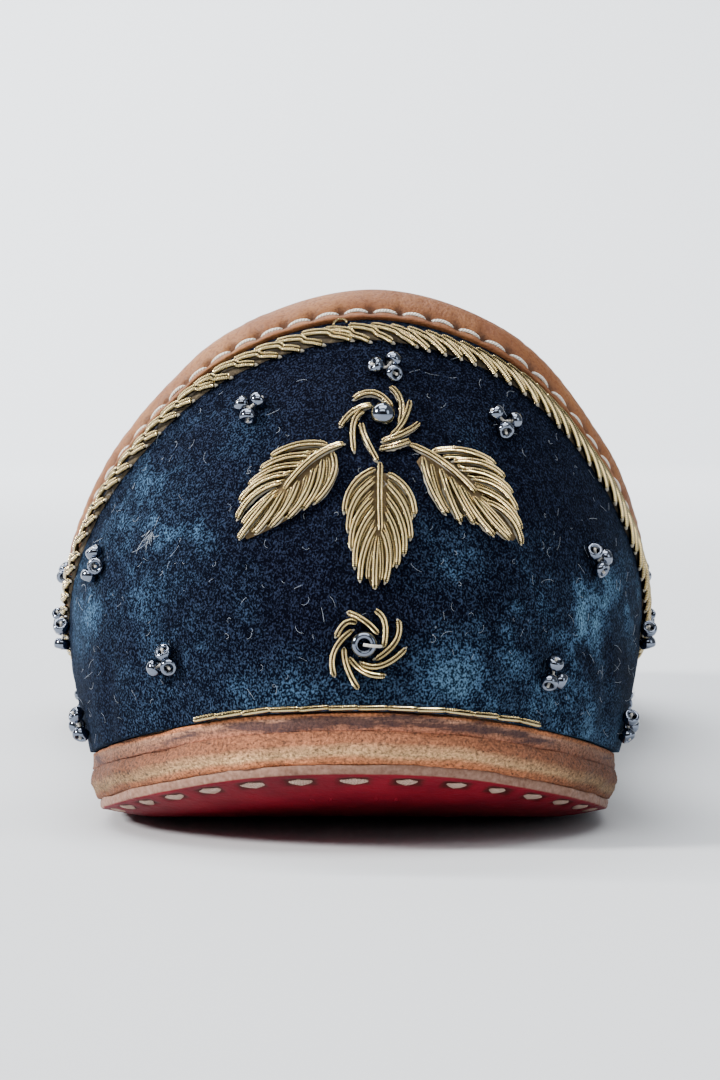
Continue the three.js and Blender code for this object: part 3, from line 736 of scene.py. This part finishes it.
# Embroidery. Wires are given as (across, down) from the middle of the upper flower,
# each as a start, a middle and an end.
motif = {
    "flower_upper": [
        [(1.0, -1.3), (-0.8, -2.6), (-2.9, -2.2)], [(-1.1, -1.5), (-2.9, -0.7), (-4.3, 0.7)],
        [(-1.9, -0.8), (-2.9, 0.5), (-2.9, 3.2)], [(-2.1, 0.5), (-1.7, 2.1), (-0.5, 4.2)],
        [(-0.2, 3.0), (1.4, 2.8), (2.8, 2.2)], [(0.0, 2.2), (2.1, 1.6), (3.8, 0.4)],
        [(1.0, 1.6), (2.1, 0.4), (2.9, -1.9)], [(1.8, 0.4), (1.9, -1.7), (0.9, -3.4)],
    ],
    "flower_lower": [
        [(-3.5, 19.6), (-1.9, 20.4), (-0.5, 21.7)], [(-0.7, 19.4), (0.2, 20.7), (0.1, 23.0)],
        [(1.6, 20.4), (1.3, 22.5), (-0.7, 24.3)], [(2.3, 23.3), (-0.1, 24.9), (-2.2, 24.7)],
        [(0.2, 26.0), (-1.8, 25.6), (-3.3, 24.2)], [(-2.5, 27.3), (-3.6, 25.1), (-3.9, 23.2)],
        [(-4.9, 26.0), (-4.9, 23.5), (-3.1, 21.4)], [(-4.7, 22.0), (-3.8, 20.7), (-2.7, 20.6)],
    ],
    "leaf_left": [
        [(-4.0, 2.5), (-7.0, 4.1), (-10.1, 7.2)], [(-5.7, 2.6), (-8.5, 2.8), (-11.4, 3.8)],
        [(-7.4, 3.7), (-10.0, 4.1), (-12.5, 5.1)], [(-8.4, 4.7), (-11.2, 5.3), (-13.7, 6.8)],
        [(-9.7, 5.6), (-12.4, 6.6), (-14.6, 8.4)], [(-10.4, 6.5), (-13.0, 7.9), (-14.9, 10.2)],
        [(-5.1, 3.5), (-5.0, 6.0), (-6.9, 8.5)], [(-6.1, 4.2), (-6.5, 6.9), (-8.0, 9.1)],
        [(-7.0, 5.1), (-7.8, 7.9), (-9.6, 10.0)], [(-8.6, 6.4), (-9.6, 9.0), (-11.4, 10.9)],
        [(-10.2, 7.5), (-11.4, 9.9), (-13.0, 11.6)], [(-11.1, 7.7), (-13.0, 10.2), (-14.7, 12.2)],
    ],
    "leaf_centre": [
        [(-0.2, 4.5), (-0.3, 8.0), (-0.2, 11.3)], [(-0.8, 5.1), (-3.0, 6.9), (-3.9, 9.4)],
        [(-0.9, 6.4), (-2.8, 8.6), (-3.5, 11.3)], [(-1.0, 8.1), (-2.7, 10.4), (-3.2, 13.1)],
        [(-0.9, 9.4), (-2.4, 12.0), (-2.8, 15.0)], [(-0.8, 11.0), (-1.9, 13.5), (-2.3, 16.3)],
        [(-0.6, 12.6), (-0.8, 15.0), (-0.8, 17.1)], [(0.6, 5.6), (2.5, 7.4), (3.3, 9.7)],
        [(0.5, 6.7), (2.2, 9.2), (2.9, 12.1)], [(0.5, 8.1), (1.9, 10.8), (2.2, 13.7)],
        [(0.4, 9.5), (1.4, 12.1), (1.5, 14.8)], [(0.0, 11.4), (0.6, 13.9), (0.3, 16.5)],
    ],
    "leaf_right": [
        [(2.9, 2.6), (6.1, 4.5), (9.6, 7.5)], [(5.2, 3.3), (8.6, 3.4), (11.7, 4.7)],
        [(7.4, 4.3), (10.2, 4.7), (12.6, 6.0)], [(8.2, 5.2), (11.1, 6.0), (13.4, 7.7)],
        [(9.4, 6.1), (12.0, 7.2), (13.9, 9.4)], [(9.7, 7.1), (12.4, 8.8), (14.3, 11.3)],
        [(10.8, 8.5), (13.0, 10.2), (14.4, 12.8)], [(4.2, 4.0), (4.9, 7.0), (6.5, 9.6)],
        [(6.0, 5.2), (6.7, 7.9), (8.0, 10.5)], [(7.0, 6.0), (7.9, 8.4), (9.4, 10.6)],
        [(8.0, 6.9), (9.3, 9.6), (11.4, 11.9)], [(9.4, 8.0), (10.9, 10.4), (13.0, 12.3)],
    ],
}
# Where the motif lies: on the heel by x and z as seen from behind, on the vamp by x and y
heelPlace = {"unit": 1.001, "x": 2.904, "second": 44.786, "step": -1, "start": (0.1, 0.5), "axes": [0, 2]}
vampPlace = {"unit": 1.3, "x": 0, "second": shoe["throatY"] + 18, "step": 1, "start": (10, 0.6),
             "axes": [0, 1]}
# Stem, tip and half width of each leaf's padding, and the sizes of every wire in the motif's units
leafPads = {"leaf_left": ((-4, 2.7), (-15, 12.6), 3.1), "leaf_centre": ((-0.4, 4), (-0.8, 17.8), 3.6),
            "leaf_right": ((3, 2.5), (14.7, 12.9), 3.1)}
motifWire = {"points": 17, "width": 0.7, "height": 0.6, "groove": 0.16, "foot": 0.34, "leafArch": 0.42,
             "flowerArch": 0.36, "lower": 0.3, "shorter": 0.76, "felt": [0.25, 0.2], "feltRise": 0.15}


# Frame of the wall under spots of the motif, which are in its own units
def seatMotif(where, spots):
    wanted = np.stack([where["x"] + spots[..., 0] * where["unit"],
                       where["second"] + where["step"] * spots[..., 1] * where["unit"]], -1)
    return wallFrame(*findOnWall(where["start"], where["axes"], wanted))


# Points of quadratic curves through each row's start, middle and end
def curvePoints(table, t):
    a, b, c = table.transpose(1, 0, 2)[:, :, None]
    t = t[:, None]
    return a * (1 - t) ** 2 + 2 * (2 * b - (a + c) / 2) * t * (1 - t) + c * t ** 2


# Wires of one motif piece, arched over the padding by a half sine. A leaf also has lower wires
# halfway between neighbouring ones; the last one of its first side has the very last as neighbour.
def motifWires(where, rows, arch, between):
    table = np.array(rows)
    low = np.zeros(len(table))
    if between:
        k = np.arange(1, len(table) - 1)
        apart = np.linalg.norm(table[k, 0] - table[k + 1, 0], axis=-1)
        half = (table[k] + table[np.where(apart < 3, k + 1, len(table) - 1)]) / 2
        half[:, 2] = half[:, 1] + motifWire["shorter"] * (half[:, 2] - half[:, 1])
        table = np.concatenate([table, half])
        low = np.concatenate([low, np.full(len(k), motifWire["lower"])])
    t = np.linspace(0, 1, motifWire["points"])
    size = where["unit"]
    low = low[:, None]
    point, normal, _, _ = seatMotif(where, curvePoints(table, t))
    lift = motifWire["foot"] - 0.4 * low + (arch - low) * np.sin(math.pi * t) ** 0.7
    lift = lift * chance.uniform(0.92, 1.08, (len(table), 1)) * size
    section = wireSection(motifWire["width"] * size, motifWire["height"] * size, motifWire["groove"] * size)
    thin = blunt(motifWire["points"], 0.05, 0.7) * (1 - 0.5 * low)
    return tubes(point + normal * lift[..., None], normal, section, thin)


# Padding of a leaf: a lens from its stem to its tip, with the half width a skewed sine of the way
def leafPad(where, stem, tip, half):
    stem, tip = np.array(stem), np.array(tip)
    way = np.linspace(0.1, 0.93, 25)[:, None]
    side = np.linspace(-1, 1, 13)
    axis = unit(tip - stem)
    wide = half * 0.6 * np.sin(math.pi * way ** 0.85)
    spots = stem + (tip - stem) * way[..., None] + (wide * side)[..., None] * [-axis[1], axis[0]]
    point, normal, _, _ = seatMotif(where, spots)
    rise = (0.3 * (1 - side ** 2) ** 0.5 * np.sin(math.pi * way) ** 0.5)[..., None] * where["unit"]
    rings = np.concatenate([point + normal * (rise + 0.02), (point - normal * 0.2)[:, ::-1]], 1)
    return body(rings, cappedFaces(*rings.shape[:2]))


# Felt under each wire: a lower tube, a little longer than the wire, that shows at its ends
def motifFelt(where, rows):
    table = np.array(rows)
    t = np.linspace(-0.035, 1.035, motifWire["points"])
    spots = curvePoints(table, t)
    spots = spots + chance.normal(0, 0.035, spots.shape)
    point, normal, _, _ = seatMotif(where, spots)
    section = roundSection(1, 8) * motifWire["felt"] * where["unit"]
    path = point + normal * motifWire["feltRise"] * where["unit"]
    return tubes(path, normal, section, blunt(motifWire["points"], 0.12, 0.25))


# Beads turned about their axes: a section of (distance along the axis, distance from it), which closes
# on itself round a hole, or else runs from one small cap on the axis to another
def beads(centres, axes, section, count, holed):
    side = unit(np.cross(axes, [0.31, 0.2, 0.93]))  # any direction that no axis has
    other = np.cross(axes, side)
    turn = 2 * math.pi * np.arange(count)[:, None] / count
    way = side[:, None] * np.cos(turn) + other[:, None] * np.sin(turn)
    rings = centres[:, None, None] + axes[:, None, None] * section[:, :1] + way[:, :, None] * section[:, 1:]
    rings = rings if holed else rings.transpose(0, 2, 1, 3)
    k, n, m = rings.shape[:3]
    faces = [skinFaces(n, m, True)] if holed else cappedFaces(n, m)
    return body(rings, repeated(faces, k, n * m))


# Section of a holed bead: an ellipse of half sizes long and thick, away from the axis
def holedSection(bead):
    turn = 2 * math.pi * np.arange(10) / 10
    return np.stack([bead["long"] * np.cos(turn), bead["away"] + bead["thick"] * np.sin(turn)], -1)


ringBead = {"long": 0.62, "thick": 0.42, "away": 0.93, "around": 24, "place": np.array([[-1.9, 22.8]])}
ball = {"radius": 1.25, "lift": 1.35, "around": 28, "place": np.array([[0, 0]])}
ballTurn = np.linspace(0.08, math.pi - 0.08, 15)
ballSection = np.stack([-np.cos(ballTurn), np.sin(ballTurn)], -1)
for prefix, where in (("heel", heelPlace), ("vamp", vampPlace)):
    size = where["unit"]
    for part, table in motif.items():
        cad = prefix + "_" + part
        isLeaf = part.startswith("leaf")
        wires = motifWires(where, table, motifWire["leafArch" if isLeaf else "flowerArch"], isLeaf)
        putPiece(cad + "Wires", wires, gold, "gold_wire", cad)
        putPiece(cad + "Felt", motifFelt(where, table), felt, "thread", cad)
        if isLeaf:
            putPiece(cad + "Pad", leafPad(where, *leafPads[part]), padding, "thread", cad)
    point, normal, _, _ = seatMotif(where, ball["place"])
    centre = point + normal * ball["lift"] * size
    roundBead = beads(centre, normal, ball["radius"] * size * ballSection, ball["around"], False)
    putPiece(prefix + "RoundBead", roundBead, steel, "steel_bead", prefix + "_flower_upper")
    point, normal, along, up = seatMotif(where, ringBead["place"])
    ring = beads(point + normal * size, normal, holedSection(ringBead) * size, ringBead["around"], True)
    putPiece(prefix + "RingBead", ring, steel, "steel_bead", prefix + "_flower_lower")
    reach = np.linspace(-0.1, 1.75, 12)[:, None] * size
    rise = (1.75 - 0.8 * np.linspace(0, 1, 12)[:, None] ** 3) * size
    tie = point + along * reach + normal * rise - up * 0.15 * np.sin(reach)
    cream = tubes(tie[None], np.broadcast_to(normal, (1, 12, 3)), roundSection(0.16 * size, 7), np.ones(12))
    putPiece(prefix + "RingThread", cream, thread, "thread", prefix + "_flower_lower")
print("embroidery made")


# Seed bead clusters: on the heel in millimetres across and down from the upper flower, and elsewhere
# as (u, v), each with the turn of its first bead in degrees
heelClusters = [(-13.6, -1.0, 20), (0.5, -5.2, 65), (12.6, 0.4, 150), (-30.2, 15.6, 90), (-22.3, 25.2, 75),
                (22.5, 14.8, 40), (17.4, 26.5, 110)]
sideClusters = [(3.1, 0.12, 10), (3.55, 0.62, 50), (4.5, 0.3, 80), (5.4, 0.62, 120), (6.2, 0.26, 20),
                (6.9, 0.66, 70), (7.4, 0.3, 100), (8.1, 0.62, 30), (8.5, 0.22, 60), (8.9, 0.78, 15),
                (9.1, 0.45, 95), (9.45, 0.16, 40), (9.72, 0.36, 75), (10, 0.12, 90)]
seedBead = {"long": 0.58, "thick": 0.3, "away": 0.66, "around": 14, "lift": 0.92, "thread": 0.15,
            "threadReach": 0.66}
across, drop, first = np.array(heelClusters).T
spots = np.stack([heelPlace["x"] + across, heelPlace["second"] - drop], -1)
heelU, heelV = findOnWall(heelPlace["start"], heelPlace["axes"], spots)
mirrored = [(stationCount - u, v, 180 - turn) for u, v, turn in sideClusters[:-1]]
others = np.array(sideClusters + mirrored)
clusterU = np.concatenate([heelU, others[:, 0]])
clusterV = np.concatenate([heelV, others[:, 1]])
firstTurn = np.radians(np.concatenate([first, others[:, 2]]))
turns = firstTurn[:, None] + np.array([0, 2.15, 4.25]) + chance.normal(0, 0.18, (len(firstTurn), 3))
point, normal, along, up = (a[:, None] for a in wallFrame(clusterU, clusterV))
ray = along * np.cos(turns)[..., None] + up * np.sin(turns)[..., None]
lean = chance.uniform(-0.2, 1.3, turns.shape)[..., None]
axes = unit(ray + normal * lean)
centres = point + ray * chance.uniform(1.08, 1.26, turns.shape)[..., None] + normal * seedBead["lift"]
section = holedSection(seedBead)
seeds = beads(centres.reshape(-1, 3), axes.reshape(-1, 3), section, seedBead["around"], True)
putPiece("seedBeads", seeds, steel, "steel_bead", "upper")
t = np.linspace(0, 1, 9)[:, None]
ends = centres + axes * seedBead["threadReach"] - normal * 0.1
begin, bend, ends = (a[:, :, None] for a in (point + normal * 0.75, centres, ends))
paths = begin * (1 - t) ** 2 + 2 * t * (1 - t) * bend + ends * t ** 2
outs = np.broadcast_to(normal[:, :, None], paths.shape).reshape(-1, 9, 3)
seedThreads = tubes(paths.reshape(-1, 9, 3), outs, roundSection(seedBead["thread"], 6), np.ones(9))
putPiece("seedThreads", seedThreads, thread, "thread", "upper")
print("beads made")


# Gold wire along the back's foot edge, in short pieces end to end
baseRow = {"from": -1.3, "to": 1.55, "piece": 2.95, "gap": 0.06, "out": 0.42, "up": 0.38,
           "width": 0.64, "height": 0.6, "groove": 0.08}
u = np.linspace(baseRow["from"], baseRow["to"], 400)
length = lengthAlong(wallPoint(u, 0))
count = int(length[-1] / baseRow["piece"])
starts = np.arange(count) * length[-1] / count
t = np.linspace(0, 1, 9)
place = starts[:, None] + baseRow["gap"] / 2 + (length[-1] / count - baseRow["gap"]) * t
point, normal, along, up = wallFrame(np.interp(place, length, u), 0.0)
tilt = chance.normal(0, 0.06, (count, 1)) * (t - 0.5)
lifted = point + normal * (baseRow["out"] + 0.04 * np.sin(math.pi * t))[:, None]
lifted[..., 2] += baseRow["up"] + tilt * 2.4
section = wireSection(baseRow["width"], baseRow["height"], baseRow["groove"])
baseWires = tubes(lifted, unit(normal + [0, 0, 0.3]), section, blunt(len(t), 0.05, 0.8))
putPiece("heelBaseWires", baseWires, gold, "gold_wire", "heel_base_wire")
print("base wire made")


# Floor or top of a sole layer: an edge drawn in by a share, where the curl of the edge dies away
def drawnIn(edge, share, level):
    ring = edge * (1 - share * np.array([0.2, 0.07, 0]))
    ring[..., 2:] = underside(ring[..., 1:2]) + level + shoe["edgeCurl"] * (1 - share) ** 1.4
    return ring


# A layer of the sole. rows are (share of the thickness, inset) up its side, from the bottom;
# inwards shares go from the edge to the inner loop, where the layer is level from side to side.
def soleLayer(level, thick, rows, uneven, seed, inwards=(0.1, 0.3, 0.6, 1), count=1200, slots=None):
    foot, outward, _, _ = wallFrame(evenly(footLine, count), 0.0)
    share, inset = np.array(rows).T
    side = foot[:, None] - outward[:, None] * inset[:, None]
    side[..., 2] = underside(side[..., 1]) + level + shoe["edgeCurl"] + share * thick
    fuzz = uneven * ripple(side * [1, 1, 2.5], 5, seed)
    fuzz += 0.45 * uneven * ripple(side * [1, 1, 2], 1.3, seed + 1)
    side = side - outward[:, None] * fuzz[..., None]
    side[..., 2] += 0.5 * uneven * ripple(side, 9, seed + 2) * (share > 0.9)
    t = np.array(inwards)
    bottom = drawnIn(side[:, :1], t[:, None], level)
    top = drawnIn(side[:, -1:], t[[0, len(t) // 2, -1], None], level + thick)
    travelled = np.arange(count) / count * perimeter
    slotShare = np.zeros(bottom.shape[:2])
    if slots:
        alongSlot = softStep(toNearest(travelled, slots["pitch"]) - slots["long"] / 2, 0.12)
        acrossSlot = softStep(np.abs(t - slots["share"]) - slots["wide"] / 2, 0.012)
        slotShare = alongSlot[:, None] * acrossSlot
        bottom[..., 2] += slots["deep"] * slotShare
    rings = np.concatenate([bottom[:, ::-1], side, top], 1)
    m = rings.shape[1]
    height = np.broadcast_to(np.concatenate([np.zeros(len(t)), share, np.ones(3)]), rings.shape[:2])
    slotShare = np.pad(slotShare[:, ::-1], ((0, 0), (0, m - len(t))))
    i = np.arange(count)[:, None]
    j = np.arange(m - 1)[None]
    nextI = (i + 1) % count
    skin = np.stack([i * m + j, i * m + j + 1, nextI * m + j + 1, nextI * m + j], -1).reshape(-1, 4)
    k = np.arange(1, count // 2 - 1)
    quads = np.stack([k, k + 1, count - k - 1, count - k], -1) * m
    ends = np.array([[0, 1, count - 1], [count // 2 - 1, count // 2, count // 2 + 1]]) * m
    faces = [skin, quads, ends, quads[:, ::-1] + m - 1, ends[:, ::-1] + m - 1]
    fromBack = np.minimum(travelled, perimeter - travelled)[:, None]
    uv = np.stack([np.broadcast_to(fromBack, height.shape), height], -1)
    # The slot share also goes to the outsole's colour as painted shade in the slots
    return body(rings, faces, uv, {"slot": slotShare.ravel()})


slotCount = round(perimeter / 6.05)
slots = {"pitch": perimeter / slotCount, "long": 3.7, "wide": 0.25, "deep": 0.14, "share": 0.215}
outsole = {"level": 0, "thick": 1.08, "uneven": 0.09, "seed": 51, "count": 1500, "slots": slots,
           "rows": [(0, 1.45), (0.08, 1.3), (0.25, 1.2), (0.6, 1.12), (0.92, 1.06), (1, 1.16)],
           "inwards": [0.03, 0.055, 0.075, 0.09, 0.11, 0.14, 0.18, 0.22, 0.26, 0.3, 0.325, 0.345, 0.37,
                       0.45, 0.6, 0.8, 1]}
midsole = {"level": 1.13, "thick": 3.22, "uneven": 0.1, "seed": 54,
           "rows": [(0, 0.98), (0.05, 0.86), (0.15, 0.7), (0.3, 0.42), (0.42, 0.24), (0.54, 0.1),
                    (0.64, 0.08), (0.76, 0.16), (0.88, 0.28), (0.97, 0.34), (1, 0.4)]}
rand = {"level": 4.37, "thick": 1.88, "uneven": 0.09, "seed": 57,
        "rows": [(0, 0.4), (0.05, 0.34), (0.3, 0.34), (0.6, 0.33), (0.88, 0.36), (0.96, 0.44), (1, 0.6)]}
insole = {"level": shoe["footLevel"], "thick": 1.5, "uneven": 0.03, "seed": 60, "count": 600,
          "rows": [(0, 2.3), (1, 2.3)]}
putPiece("outsole", soleLayer(**outsole), red, "red_leather", "outsole")
putPiece("midsole", soleLayer(**midsole), soleLeather, "sole_leather", "midsole")
putPiece("rand", soleLayer(**rand), randLeather, "rand_leather", "rand")
putPiece("insole", soleLayer(**insole), liningLeather, "lining_leather", "insole")

# Outsole stitches, one lying in each slot and tilted with the underside there
soleStitch = {"short": 0.62, "long": 0.98, "nudge": 0.08, "half": [1.1, 0.2], "ends": 0.12, "swell": 0.74}
t = np.linspace(-0.5, 0.5, 13)
stretch = chance.uniform(soleStitch["short"], soleStitch["long"], (slotCount, 1))
nudge = chance.normal(0, soleStitch["nudge"], (slotCount, 1))
place = (np.arange(slotCount)[:, None] * slots["pitch"] + nudge + t * slots["long"] * stretch) % perimeter
foot, outward, _, _ = wallFrame(np.interp(place, footLine[1], footLine[0]), 0.0)
edge = foot - outward * outsole["rows"][0][1]
paths, outer, inner = (drawnIn(edge, slots["share"] + step, 0) for step in (0, -0.1, 0.1))
below = unit(np.cross(outer - inner, np.gradient(paths, axis=1)))
below *= -np.sign(below[..., 2:])
paths[..., 2] += 0.24 - 0.18 * np.clip(underside(paths[..., 1]) / 1.5, 0, 1) + 0.14 * (2 * np.abs(t)) ** 4
skew = 1 - 0.25 * t * chance.normal(0, 1, (slotCount, 1))
thin = (soleStitch["ends"] + soleStitch["swell"] * (1 - 2 * np.abs(t)) ** 0.75) * skew
soleStitches = tubes(paths, below, roundSection(1, 9) * soleStitch["half"], thin)
putPiece("soleStitches", soleStitches, waxedThread, "thread", "outsole")
print("sole made")


# Hairs in the plane of the wall: the direction turns evenly by the bend, and each lifts evenly off it
def hairs(u, v, turn, long, bend, lift, thick):
    t = np.linspace(0, 1, 7)
    point, normal, along, up = (a[:, None] for a in wallFrame(u, v))
    angle = turn[:, None] + bend[:, None] * t
    step = long[:, None] / 6
    a = np.cumsum(np.cos(angle) * step, 1)[..., None]
    b = np.cumsum(np.sin(angle) * step, 1)[..., None]
    c = (0.12 + lift[:, None] * t)[..., None]
    paths = point + along * a + up * b + normal * c
    return tubes(paths, np.broadcast_to(normal, paths.shape), roundSection(thick, 3), np.ones(7))


# Lint over the velvet, thicker at the back, and a tuft on the left of the heel
hairSizes = {"loose": 420, "atBack": 130, "backReach": 2.6, "thick": 0.013,
             "tuft": 22, "tuftPlace": (-1.578, 0.55), "tuftThick": 0.017}
n = hairSizes["loose"]
looseU = chance.uniform(0, stationCount, n)
atBack, backReach = hairSizes["atBack"], hairSizes["backReach"]
looseU[:atBack] = chance.uniform(-backReach, backReach, atBack)
loose = hairs(looseU, chance.uniform(0.04, 0.86, n), chance.uniform(0, 6.28, n), chance.uniform(0.4, 1.7, n),
              chance.normal(0, 2.4, n), chance.uniform(0.1, 0.6, n), hairSizes["thick"])
n = hairSizes["tuft"]
tuftU, tuftV = hairSizes["tuftPlace"]
tuft = hairs(tuftU + chance.normal(0, 0.012, n), tuftV + chance.normal(0, 0.006, n),
             chance.normal(-1.5, 0.7, n), chance.uniform(0.8, 2.4, n), chance.normal(0, 0.7, n),
             chance.uniform(0.2, 1.1, n), hairSizes["tuftThick"])
putPiece("lint", joined([loose, tuft]), lint, "thread", "upper")
print("lint made")


# An object of the stage, which is no part of the shoe
def putStage(name, data):
    made = bpy.data.objects.new(name, data)
    bpy.context.scene.collection.objects.link(made)
    return made


# Floor and backdrop in one sheet: a level floor that curves up into a wall
def backdrop():
    turn = np.linspace(0, math.pi / 2, 24)
    y = np.concatenate([[-4, -1], 2.4 + 1.2 * np.sin(turn), [3.6]])
    z = np.concatenate([[0, 0], 1.2 * (1 - np.cos(turn)), [4]])
    x = np.array([-5, 5])
    points = np.stack(np.broadcast_arrays(x[:, None], y, z), -1).reshape(-1, 3)
    n = len(y)
    k = np.arange(n - 1)
    mesh = bpy.data.meshes.new("backdrop")
    mesh.from_pydata(points.tolist(), [], np.stack([k + n, k + n + 1, k + 1, k], -1).tolist())
    mesh.polygons.foreach_set("use_smooth", np.ones(n - 1, bool))
    pale = {"Base Color": (0.55, 0.565, 0.585, 1), "Specular IOR Level": 0.1}
    mesh.materials.append(surface("paper", Roughness=0.9, **pale)[0])
    putStage("backdrop", mesh)


# A dark card behind the camera, seen only in reflections
def darkCard():
    mesh = bpy.data.meshes.new("darkCard")
    corners = [(-0.9, -1.5, 0.02), (0.9, -1.5, 0.02), (0.9, -1.5, 0.75), (-0.9, -1.5, 0.75)]
    mesh.from_pydata(corners, [], [(0, 1, 2, 3)])
    mesh.materials.append(surface("darkCloth", Roughness=1.0, **{"Base Color": (0.012, 0.012, 0.014, 1)})[0])
    card = putStage("darkCard", mesh)
    card.visible_camera = False
    card.visible_shadow = False


# A rectangular light that faces a point: its tilt and its turn by arc cosine and arc tangent
def areaLight(name, place, aim, size, power, colour):
    made = bpy.data.lights.new(name, "AREA")
    made.shape = "RECTANGLE"
    made.size, made.size_y = size
    made.energy = power
    made.color = colour
    lamp = putStage(name, made)
    lamp.location = place
    way = np.array(aim) - np.array(place)
    lamp.rotation_euler = (math.acos(-way[2] / np.linalg.norm(way)), 0, math.atan2(-way[0], way[1]))


backdrop()
darkCard()
areaLight("key", (-1.25, -0.5, 0.66), (0, -0.08, 0.03), (0.28, 0.28), 50, (1, 0.985, 0.96))
areaLight("fill", (1.1, -0.9, 0.5), (0, -0.08, 0.03), (0.5, 0.7), 3.5, (0.9, 0.95, 1))
areaLight("front", (-0.1, -1.25, 0.98), (0, -0.1, 0.03), (1.2, 0.35), 7, (1, 0.99, 0.97))
areaLight("top", (0, -0.3, 1.1), (0, -0.06, 0.03), (1.1, 0.7), 17, (0.98, 0.99, 1))
areaLight("wall", (-1.3, 1.3, 2.4), (-0.9, 3.5, 0.7), (3, 1), 500, (0.97, 0.985, 1))
world = bpy.data.worlds.new("studio")
world.use_nodes = True
sky = world.node_tree.nodes["Background"]
sky.inputs["Color"].default_value = (0.86, 0.9, 0.94, 1)
sky.inputs["Strength"].default_value = 0.31
bpy.context.scene.world = world

# Camera: millimetres behind the back and up, and degrees tipped down and turned to the right
view = {"back": 400, "height": 47, "tip": 2.05, "turn": 0.088, "lens": 130.13}
lens = bpy.data.cameras.new("camera")
lens.lens = view["lens"]
lens.sensor_width = 36
lens.clip_start = 0.01
camera = bpy.data.objects.new("camera", lens)
camera.location = (0, (shiftY - shoe["length"] / 2 - view["back"]) / 1000, view["height"] / 1000)
camera.rotation_euler = (math.radians(90 - view["tip"]), 0, -math.radians(view["turn"]))
bpy.context.scene.collection.objects.link(camera)
bpy.context.scene.camera = camera
print("stage made")
